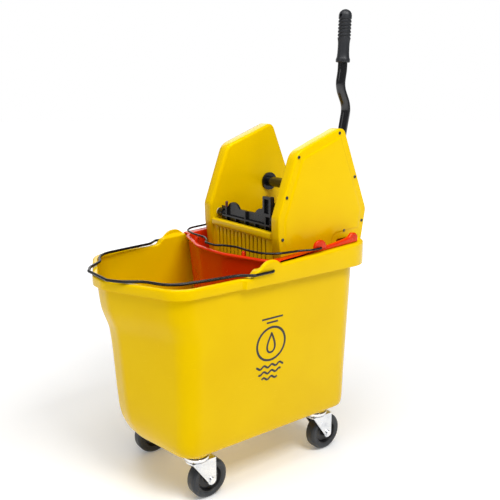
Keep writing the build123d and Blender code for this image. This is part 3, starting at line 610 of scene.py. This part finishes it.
def tower_pan(name, side):
    """Housing of one tower: a rounded pan that opens towards its cover."""
    mesh = bmesh.new()
    edge_r, wall = 6.0, 3.0
    rows = [tower_row(wall, TOWER_SEAM - 0.1, side), tower_row(1.0, TOWER_SEAM - 0.1, side),
            tower_row(0.3, TOWER_SEAM - 0.4, side), tower_row(0.0, TOWER_SEAM - 1.2, side),
            tower_row(0.0, 108, side)]
    for turn in (0, 18, 36, 54, 72, 90):
        a = radians(turn)
        rows.append(tower_row(edge_r * (1 - cos(a)), TOWER_IN + edge_r * (1 - sin(a)), side))
    add_rows(mesh, rows, cap_end=True)
    inner = [tower_row(wall, TOWER_SEAM - 0.1, side), tower_row(wall + 0.3, 108, side),
             tower_row(wall + 1.0, TOWER_IN + wall + 2.5, side),
             tower_row(wall + 3.5, TOWER_IN + wall, side)]
    add_rows(mesh, inner, cap_end=True)
    bmesh.ops.remove_doubles(mesh, verts=mesh.verts, dist=0.01)
    flared(mesh, side)
    obj = piece(name, mesh, "wringer", "yellow_plastic", [f"{name.split('_')[0]}_tower_housing"], 30)
    holes = [round_cutter(SHAFT_X, SHAFT_Z, side * (TOWER_IN - 4), side * (TOWER_IN + 8), 12.0),
             round_cutter(PIVOT[0], PIVOT[1], side * (TOWER_IN - 4), side * 101, 8.0)]
    if side < 0:
        holes.append(block_cutter(203.5, 290, side * LEVER_Y - 9.6, side * LEVER_Y + 9.6, 526, 680))
    cut(obj, *holes)
    return obj


def tower_lid(name, side):
    """Cover of one tower: rounded border and a softly raised panel."""
    mesh = bmesh.new()
    rows = [tower_row(0.9, TOWER_SEAM, side), tower_row(0.25, TOWER_SEAM + 0.25, side)]
    round_r = 2.2
    for turn in (0, 22, 45, 68, 90):
        a = radians(turn)
        rows.append(tower_row(round_r * (1 - cos(a)), TOWER_BORDER - round_r * (1 - sin(a)), side))
    rows += [tower_row(inset, TOWER_BORDER + rise, side) for inset, rise in
             ((12.5, 0.0), (13.6, 0.1), (14.6, 0.4), (15.6, 0.85), (16.8, 1.18), (18.4, 1.3), (30.0, 1.3))]
    add_rows(mesh, rows, cap_start=True, cap_end=True)
    return piece(name, mesh, "wringer", "yellow_plastic", [f"{name.split('_')[0]}_tower_cover"], 60)


# ---- plates, blocks and tubes ---------------------------------------------
def edge_turns(edge_r, steps=4):
    """(inset, depth) pairs down a quarter-round edge, from its face to its side."""
    turns = [radians(90 * k / steps) for k in range(steps + 1)]
    return [(edge_r * (1 - sin(a)), edge_r * (1 - cos(a))) for a in turns]


def add_plate(mesh, profile, y0, y1, edge_r=1.0, arc_steps=6):
    """Closed plate with rounded edges: an (x, z, radius) outline that spans y0 to y1."""
    way = 1 if y1 > y0 else -1

    def row(inset, y):
        return [(x, y, z) for x, z in rounded(inset_profile(profile, inset), arc_steps)]
    rows = [row(inset, y0 + way * depth) for inset, depth in edge_turns(edge_r)]
    rows += [row(inset, y1 - way * depth) for inset, depth in reversed(edge_turns(edge_r))]
    add_rows(mesh, rows, cap_start=True, cap_end=True)


def add_block(mesh, x0, x1, y0, y1, z0, z1, edge_r=1.0):
    outline = [(x0, z0, edge_r), (x0, z1, edge_r), (x1, z1, edge_r), (x1, z0, edge_r)]
    add_plate(mesh, outline, y0, y1, edge_r * 0.9, 4)


def bent(route, radii, steps=10):
    """Points along a route of straight runs joined by arcs."""
    points = [Vector(route[0])]
    for i in range(1, len(route) - 1):
        here = Vector(route[i])
        before = (Vector(route[i - 1]) - here).normalized()
        after = (Vector(route[i + 1]) - here).normalized()
        half = before.angle(after) / 2
        reach = radii[i - 1] * cos(half) / sin(half)
        centre = here + (before + after).normalized() * (radii[i - 1] / sin(half))
        first = here + before * reach - centre
        axis = first.cross(here + after * reach - centre).normalized()
        for k in range(steps + 1):
            turn = (pi - 2 * half) * k / steps
            points.append(centre + Matrix.Rotation(turn, 3, axis) @ first)
    points.append(Vector(route[-1]))
    return points


def add_tube(mesh, points, radius, sides=24):
    """Round tube along the points, with slightly rounded closed ends."""
    ways = [(points[min(i + 1, len(points) - 1)] - points[max(i - 1, 0)]).normalized()
            for i in range(len(points))]
    across = ways[0].orthogonal().normalized()
    rows = []
    for i, (point, way) in enumerate(zip(points, ways)):
        across = (across - way * across.dot(way)).normalized()
        beside = way.cross(across)
        at_end = i in (0, len(points) - 1)
        inner = [0.8] if at_end else []
        for share in (inner + [1.0] if i == 0 else [1.0] + inner):
            shift = way * ((1 - share) * -radius * 0.3 * (1 if i == 0 else -1))
            rows.append([point + shift + (across * cos(2 * pi * k / sides)
                                          + beside * sin(2 * pi * k / sides)) * radius * share
                         for k in range(sides)])
    add_rows(mesh, rows, cap_start=True, cap_end=True)


# ---- inner bucket ---------------------------------------------------------
# height: rear wall, half width, front corner, nose
INSERT_KNOTS = [(168.0, 184.0, 106.0, 38.0, 8.0), (184.0, 190.0, 112.0, 32.0, 2.0),
                (455.0, 212.0, 143.0, 14.0, -22.0)]
INSERT_EAR_X, INSERT_EAR_Z = 118.0, 449.0
INSERT_WALL = 3.2


def insert_plan(z):
    rear, half, corner, nose = smooth_through(INSERT_KNOTS, z)
    half_plan = [(rear, -half, 30), (corner, -half, 26), (nose, -40, 70)]
    side = [i / 16 for i in range(1, 16)]
    front = [i / 6 for i in range(1, 6)]
    return rounded(mirrored(half_plan), 10, [side, front, front, front, side, side])


def insert_top(x):
    """Top of the inner bucket's wall: level round the front, rising along the sides."""
    return 437.5 + (439.0 + 0.03 * max(0.0, x - 20) - 437.5) * ease(12, 26, x)


def insert_wall():
    """Red tub with a thick rounded bead round its front."""
    mesh = bmesh.new()
    bottom_r = 12.0
    rows = []
    for turn in (0, 22, 45, 67):
        a = radians(turn)
        z = 168.0 + bottom_r * (1 - cos(a))
        rows.append(grown(insert_plan(z), -bottom_r * (1 - sin(a)), z))
    heights = [184, 200, 230, 270, 310, 350, 380, 400, 415, 424, 429]
    rows += [grown(insert_plan(z), 0.0, z) for z in heights]
    base = insert_plan(434)
    bead = [4.8 * ease(30, 22, x) for x, _ in base]
    top = [insert_top(x) for x, _ in base]
    for reach, drop in ((0.0, 6.3), (0.55, 6.1), (0.85, 5.2), (1.0, 3.6), (0.97, 2.2), (0.8, 0.9),
                        (0.5, 0.15), (0.1, 0.0)):
        rows.append(grown(base, [b * reach for b in bead], [z - drop for z in top]))
    rows.append(grown(base, -1.6, [z - 0.1 for z in top]))
    rows.append(grown(base, -2.7, [z - 0.7 for z in top]))
    rows.append(grown(base, -INSERT_WALL, [z - 2.0 for z in top]))
    rows += [grown(insert_plan(z), -INSERT_WALL, z) for z in reversed(heights)]
    for turn in (60, 30, 0):
        a = radians(turn)
        rows.append(grown(insert_plan(184), -INSERT_WALL - 9 * (1 - cos(a)), 172 + 9 * (1 - sin(a))))
    add_rows(mesh, rows, cap_start=True, cap_end=True)
    return piece("insert_wall", mesh, "insert", "red_plastic", ["insert_bucket"])


def insert_trim():
    """Side rails with ears and raised ends, the rear tab and guide ledges."""
    mesh = bmesh.new()
    rail = [(20, 435.8, 1.2), (20, 438.6, 1.4), (74, 442.5, 40), (137, 450, 40), (173, 455, 40),
            (190, 458.5, 8), (199, 466, 6), (208, 465.4, 5), (214, 458, 5), (214, 447.6, 2)]
    for side in SIDES.values():
        add_plate(mesh, rail, side * 148.5, side * 157.0, 2.6, 8)
        ear = [(INSERT_EAR_X + 14.5 * cos(a), INSERT_EAR_Z + 14 * sin(a), 0.9)
               for a in (pi * k / 16 for k in range(17))]
        ear = [(INSERT_EAR_X + 15, 444, 0.9)] + ear + [(INSERT_EAR_X - 15, 442, 0.9)]
        add_plate(mesh, ear, side * 150.0, side * 157.0, 2.2, 2)
        flange = [(18, 435.6, 1.0), (18, 438.8, 1.2), (212, 450.6, 1.2), (212, 447.4, 1.0)]
        add_plate(mesh, flange, side * 138.5, side * 156.0, 1.0)
        add_block(mesh, 60, 84, side * 127 - 12.8, side * 127 + 12.8, 392, 401.5, 1.2)
    add_plate(mesh, [(204, 448.9, 1), (204, 452.0, 1.2), (240, 452.0, 1.2), (240, 448.9, 1)], -84, 84, 1.0)
    add_block(mesh, 204.2, 210.4, -84, 84, 440, 451.9, 1.2)
    return piece("insert_trim", mesh, "insert", "red_plastic")


def insert_knob(name, side):
    profile = [(0, 433), (4.6, 433), (4.3, 438.2), (4.0, 442.4), (3.4, 443.7), (2.2, 444.4), (0, 444.5)]
    lathe(f"{name}_knob", profile, (1.0, side * 78.0, 0), (0, 0, 1), "insert", "red_plastic", steps=32)


def rail_hole_painted_shade(name, side):
    """Black dished disc on the raised rear end of a side rail: painted shade where a blind hole would be
    dark; no hole is cut.
    """
    profile = [(0, 156.6), (2.5, 156.6), (2.9, 157.05), (3.3, 157.1), (3.3, 156.4), (0, 156.4)]
    # black plastic here is painted shade in place of the hole
    lathe(f"{name}_rail_eye_painted_shade", profile, (203.0, 0, 458.5), (0, side, 0), "insert", "black_plastic", steps=32)


# ---- bails ----------------------------------------------------------------
def both_sides(half):
    return half + [(x, -y, z) for x, y, z in reversed(half)]


def bail(name, half, radii, wire_r, body, node):
    mesh = bmesh.new()
    add_tube(mesh, bent(both_sides(half), radii + radii[::-1]), wire_r, 20)
    return piece(name, mesh, body, "black_wire", [node])


BUCKET_BAIL = [(0, 152, 426.5), (0, 168.9, 426.5), (-43, 168.9, 425.9), (-65, 151, 425.6),
               (-126, 143, 424.9), (-186, 133, 424.3), (-206, 84, 424.0), (-238, 58, 423.7),
               (-250.6, 36, 423.5)]
INSERT_BAIL = [(118, 148, 449), (118, 160.4, 449), (92, 160.4, 449), (70, 151, 448.8),
               (34, 145, 448.4), (9, 135, 448), (2, 92, 447.6), (2, 52, 447.4), (-8, 28, 447.2),
               (-21, 15, 447)]


# ---- wringer trim ---------------------------------------------------------
def tower_hook(name, side):
    """Lug at the tower's rear foot that hangs over the rear rim."""
    mesh = bmesh.new()
    outline = [(250.6, 456, 1), (250.6, 428.1, 2.6), (258.9, 428.1, 2.6), (263.6, 456, 1)]
    add_plate(mesh, outline, side * (TOWER_IN + 0.2), side * (TOWER_BORDER - 0.1), 1.6)
    return piece(name, mesh, "wringer", "yellow_plastic")


def grille():
    """Round-edged bars over the basket's front wall, and the rounded rails on its two walls."""
    mesh = bmesh.new()
    pitch = 12.5
    for row in range(-7, 7):
        y = (row + 0.5) * pitch
        add_block(mesh, 53.0, 57.5, y - 4.45, y + 4.45, 354, 460, 1.5)
    add_plate(mesh, [(48.9, 462.4, 1.5), (48.9, 475, 4.8), (60.1, 475, 4.8), (60.1, 462.4, 1.5)],
              -94.9, 94.9, 0.6)
    add_plate(mesh, [(246.1, 464.5, 1.5), (246.1, 476, 4.8), (259.9, 476, 4.8), (259.9, 464.5, 1.5)],
              -90.1, 90.1, 0.6)
    return piece("grille_bars", mesh, "wringer", "yellow_plastic")


# ---- lever ----------------------------------------------------------------
LEVER_LEAN = radians(11.4)
GRIP_BASE, GRIP_TIP = Vector((211.5, -LEVER_Y, 779.0)), Vector((215.0, -LEVER_Y, 873.0))
GRIP_R = 12.0


def lever():
    foot = Vector((SHAFT_X, -LEVER_Y, SHAFT_Z))
    up = Vector((sin(LEVER_LEAN), 0, cos(LEVER_LEAN)))
    grip_way = (GRIP_TIP - GRIP_BASE).normalized()
    route = [foot + up * 24, foot + up * 162, Vector((206, -LEVER_Y, 735)),
             GRIP_BASE - grip_way * 14, GRIP_BASE + grip_way * 40]
    mesh = bmesh.new()
    add_tube(mesh, bent(route, [42, 42, 40], 16), 8.75, 40)
    return piece("lever_bar", mesh, "lever", "black_coated_steel", ["lever_tube"])


def grip_profile():
    """Flared collar, plain waist, a ribbed barrel and a domed end."""
    length = (GRIP_TIP - GRIP_BASE).length - 0.1
    profile = [(8.8, 0.0), (12.2, 0.0), (13.0, 0.8), (13.15, 2.2), (13.1, 5.6), (12.4, 7.4),
               (11.6, 9.5), (11.0, 16), (10.7, 26), (10.75, 34), (11.3, 39), (11.9, 42)]
    first, ring, depth = 44.0, 6.0, 1.35
    for k in range(6):
        for share in (0.0, 0.12, 0.25, 0.38, 0.5, 0.62):
            sunk = depth * sin(pi * share / 0.5) ** 0.6 if 0 < share < 0.5 else 0.0
            profile.append((GRIP_R - sunk, first + ring * (k + share)))
    profile.append((GRIP_R, length - 11))
    for turn in (20, 40, 60, 78, 90):
        a = radians(turn)
        profile.append((GRIP_R * cos(a), length - 11 + 11 * sin(a)))
    profile[-1] = (0.0, length)
    return profile + [(0.0, length - 30), (8.8, length - 32)]


def grip():
    way = (GRIP_TIP - GRIP_BASE).normalized()
    obj = lathe("grip_sleeve", grip_profile(), GRIP_BASE, way, "lever", "grip_plastic", ["lever_grip"])
    hole = GRIP_BASE + way * ((GRIP_TIP - GRIP_BASE).length - 11)
    ring = [(2 * pi * k / 32) for k in range(32)]
    low, high = ([(hole.x + reach, hole.y + 3.0 * cos(a), hole.z + 3.0 * sin(a)) for a in ring]
                 for reach in (-20, 20))
    cut(obj, cutter(low, high))
    return obj


# ---- casters --------------------------------------------------------------


def soft_ring(corners):
    """Lathe profile through (radius, along, corner radius) points."""
    return rounded(corners, 6)


def wheel(name, x, y):
    axle, across = (x + TRAIL, y, WHEEL_R), (0, 1, 0)
    tread = soft_ring([(26.6, -10.8, 0.5), (27.4, -11.5, 0.5), (32.8, -11.9, 1.5), (37.95, -8.6, 5.0),
                       (37.95, 8.6, 5.0), (32.8, 11.9, 1.5), (27.4, 11.5, 0.5), (26.6, 10.8, 0.5)])
    lathe(f"{name}_tread", tread, axle, across, f"{name}_wheel", "grey_rubber", [f"{name}_tyre"], 96)
    dish = soft_ring([(4.1, -13.4, 0.5), (8.8, -13.4, 1.2), (9.6, -3.6, 2.2), (14, -3.0, 1.5),
                      (21.5, -3.4, 3), (24.2, -10.8, 1.0), (26.9, -10.9, 0.4), (26.9, 10.9, 0.4),
                      (24.2, 10.8, 1.0), (21.5, 3.4, 3), (14, 3.0, 1.5), (9.6, 3.6, 2.2),
                      (8.8, 13.4, 1.2), (4.1, 13.4, 0.5)])
    lathe(f"{name}_dish", dish, axle, across, f"{name}_wheel", "wheel_black", [f"{name}_wheel_core"], 72)


def race(name, x, y):
    """Domed ball race over the fork."""
    cup = soft_ring([(7, 82.05, 0.3), (18.6, 82.05, 1.5), (22.6, 84.0, 2.5), (24.15, 87.6, 2.0),
                     (23.95, 90.95, 0.5), (21.9, 90.95, 0.5), (21.3, 85.2, 1.2), (7, 84.4, 0.4)])
    lathe(f"{name}_race", cup, (x, y, 0), (0, 0, 1), f"{name}_caster", "bright_steel",
          [f"{name}_race_cup"], 96)
    rivet = soft_ring([(0, -20.5, 0.2), (4.2, -20.5, 1.6), (5.6, -18.6, 0.9), (5.6, -17.7, 0.2),
                       (0, -17.7, 0.1)])
    lathe(f"{name}_rivet", rivet, (x + TRAIL, y, WHEEL_R), (0, 1, 0), f"{name}_caster", "bright_steel",
          steps=40)


# ---- side mark ------------------------------------------------------------
MARK_X, MARK_Z = 12.0, 284.0


def on_side_wall(u, v, proud):
    """A point of the mark's plane, laid on the near wall."""
    z = MARK_Z + v
    half_width = smooth_through(BODY_KNOTS, z)[2]
    return (MARK_X + u, -half_width - proud, z)


def add_stroke(mesh, line, width, closed=False):
    """Thin printed stroke along (u, v) points."""
    count = len(line)
    film, rows = 0.12, []
    for i, (u, v) in enumerate(line):
        before = line[i - 1] if closed or i else line[0]
        after = line[(i + 1) % count] if closed or i < count - 1 else line[-1]
        along = Vector((after[0] - before[0], after[1] - before[1])).normalized()
        side = Vector((-along.y, along.x)) * width / 2
        rows.append([on_side_wall(u + side.x, v + side.y, -0.1),
                     on_side_wall(u + side.x, v + side.y, film),
                     on_side_wall(u - side.x, v - side.y, film),
                     on_side_wall(u - side.x, v - side.y, -0.1)])
    if closed:
        rows.append(rows[0])
    add_rows(mesh, rows, cap_start=not closed, cap_end=not closed)


def side_mark():
    """Generic water mark: a drop in a ring, between two rules and three waves."""
    mesh = bmesh.new()
    ring = [(32 * cos(2 * pi * k / 72), 32 * sin(2 * pi * k / 72)) for k in range(72)]
    add_stroke(mesh, ring, 4.6, closed=True)
    drop = []
    for k in range(48):
        a = 2 * pi * k / 48
        drop.append((12.5 * sin(a) * sin(a / 2) ** 1.4, 19 * cos(a) + 2))
    add_stroke(mesh, drop, 4.2, closed=True)
    for row, half in enumerate((32, 26, 18)):
        v = -44 - 12 * row
        add_stroke(mesh, [(u, v + 2.4 * sin(u * pi / 9)) for u in range(-half, half + 1)], 4.2)
    for half, v in ((24, 50), (13, 42)):
        add_stroke(mesh, [(u, v) for u in range(-half, half + 1, 2)], 3.6)
    obj = piece("water_mark", mesh, "bucket", "black_plastic")
    obj.data.materials[0] = INK
    return obj


# ---- stage ----------------------------------------------------------------
CAMERA_PLACE = (-0.7306, -1.0471, 0.7362)
CAMERA_YAW, CAMERA_PITCH = 37.23, 13.48       # degrees right of +Y, and down
CAMERA_LENS, SENSOR = 49.23, 36.0


def make_camera():
    data = bpy.data.cameras.new("camera")
    data.lens, data.sensor_width = CAMERA_LENS, SENSOR
    camera = bpy.data.objects.new("camera", data)
    yaw, pitch = radians(CAMERA_YAW), radians(CAMERA_PITCH)
    ahead = Vector((sin(yaw) * cos(pitch), cos(yaw) * cos(pitch), -sin(pitch)))
    camera.location = CAMERA_PLACE
    camera.rotation_euler = ahead.to_track_quat("-Z", "Y").to_euler()
    bpy.context.scene.collection.objects.link(camera)
    bpy.context.scene.camera = camera


def soft_light(name, place_at, look_at, width, height, power):
    data = bpy.data.lights.new(name, "AREA")
    data.shape, data.size, data.size_y, data.energy = "RECTANGLE", width, height, power
    light = bpy.data.objects.new(name, data)
    light.location = place_at
    light.rotation_euler = (Vector(look_at) - Vector(place_at)).to_track_quat("-Z", "Y").to_euler()
    bpy.context.scene.collection.objects.link(light)


def make_stage():
    mesh = bmesh.new()
    bmesh.ops.create_circle(mesh, cap_ends=True, segments=96, radius=14.0)
    data = bpy.data.meshes.new("floor")
    mesh.to_mesh(data)
    mesh.free()
    floor = bpy.data.objects.new("floor", data)
    bpy.context.scene.collection.objects.link(floor)
    paper = Shader("floor_paper", Specular_IOR_Level=0.2)
    paper.bsdf.inputs["Emission Color"].default_value = (1, 1, 1, 1)
    apart = paper.tree.nodes.new("ShaderNodeVectorMath")
    apart.operation = "LENGTH"
    paper.link(paper.where, apart.inputs[0])
    glow = paper.ranged(apart.outputs["Value"], 0.6, 2.8, 0.18, 0.92)
    paper.link(glow, paper.bsdf.inputs["Emission Strength"])
    tone = paper.mixed(paper.noise(3.0, 3.0), (0.90, 0.90, 0.90), (0.88, 0.88, 0.88))
    floor.data.materials.append(paper.finish(tone, paper.ranged(paper.noise(80.0), 0, 1, 0.8, 0.95)))
    world = bpy.data.worlds.new("studio")
    world.use_nodes = True
    tree = world.node_tree
    sky = tree.nodes["Background"]
    sky.inputs["Color"].default_value = (1, 1, 1, 1)
    rays = tree.nodes.new("ShaderNodeLightPath").outputs["Is Camera Ray"]
    power = tree.nodes.new("ShaderNodeMapRange")
    power.inputs["To Min"].default_value, power.inputs["To Max"].default_value = 0.16, 1.0
    tree.links.new(rays, power.inputs["Value"])
    tree.links.new(power.outputs["Result"], sky.inputs["Strength"])
    bpy.context.scene.world = world
    bpy.context.scene.view_settings.view_transform = "Standard"
    aim = (0.0, 0.0, 0.40)
    soft_light("overhead", (-0.6, -0.4, 2.4), aim, 1.4, 1.4, 32)
    soft_light("over_near_side", (0.1, -1.7, 2.5), aim, 1.2, 0.9, 46)
    soft_light("front_left", (-2.6, 0.2, 1.9), aim, 1.0, 1.6, 7)
    soft_light("back", (0.9, 2.1, 1.6), aim, 1.8, 1.4, 12)


finish_cad_nodes()
bucket_body()
for end, x in CASTER_X.items():
    for name, side in SIDES.items():
        caster_boss(f"{end}_{name}", x, side * CASTER_Y)
for name, side in SIDES.items():
    tower_pan(f"{name}_pan", side)
    tower_lid(f"{name}_lid", side)
    tower_hook(f"{name}_hook", side)
    insert_knob(name, side)
    rail_hole_painted_shade(name, side)
insert_wall()
insert_trim()
bail("bucket_bail_wire", BUCKET_BAIL, [6, 8, 24, 60, 50, 36, 40, 12], 2.6, "bucket_bail", "bucket_bail")
bail("insert_bail_wire", INSERT_BAIL, [5, 6, 20, 40, 40, 30, 30, 18, 8], 2.1, "insert_bail", "insert_bail")
grille()
lever()
grip()
for end, x in CASTER_X.items():
    for name, side in SIDES.items():
        wheel(f"{end}_{name}", x, side * CASTER_Y)
        race(f"{end}_{name}", x, side * CASTER_Y)
side_mark()
make_camera()
make_stage()
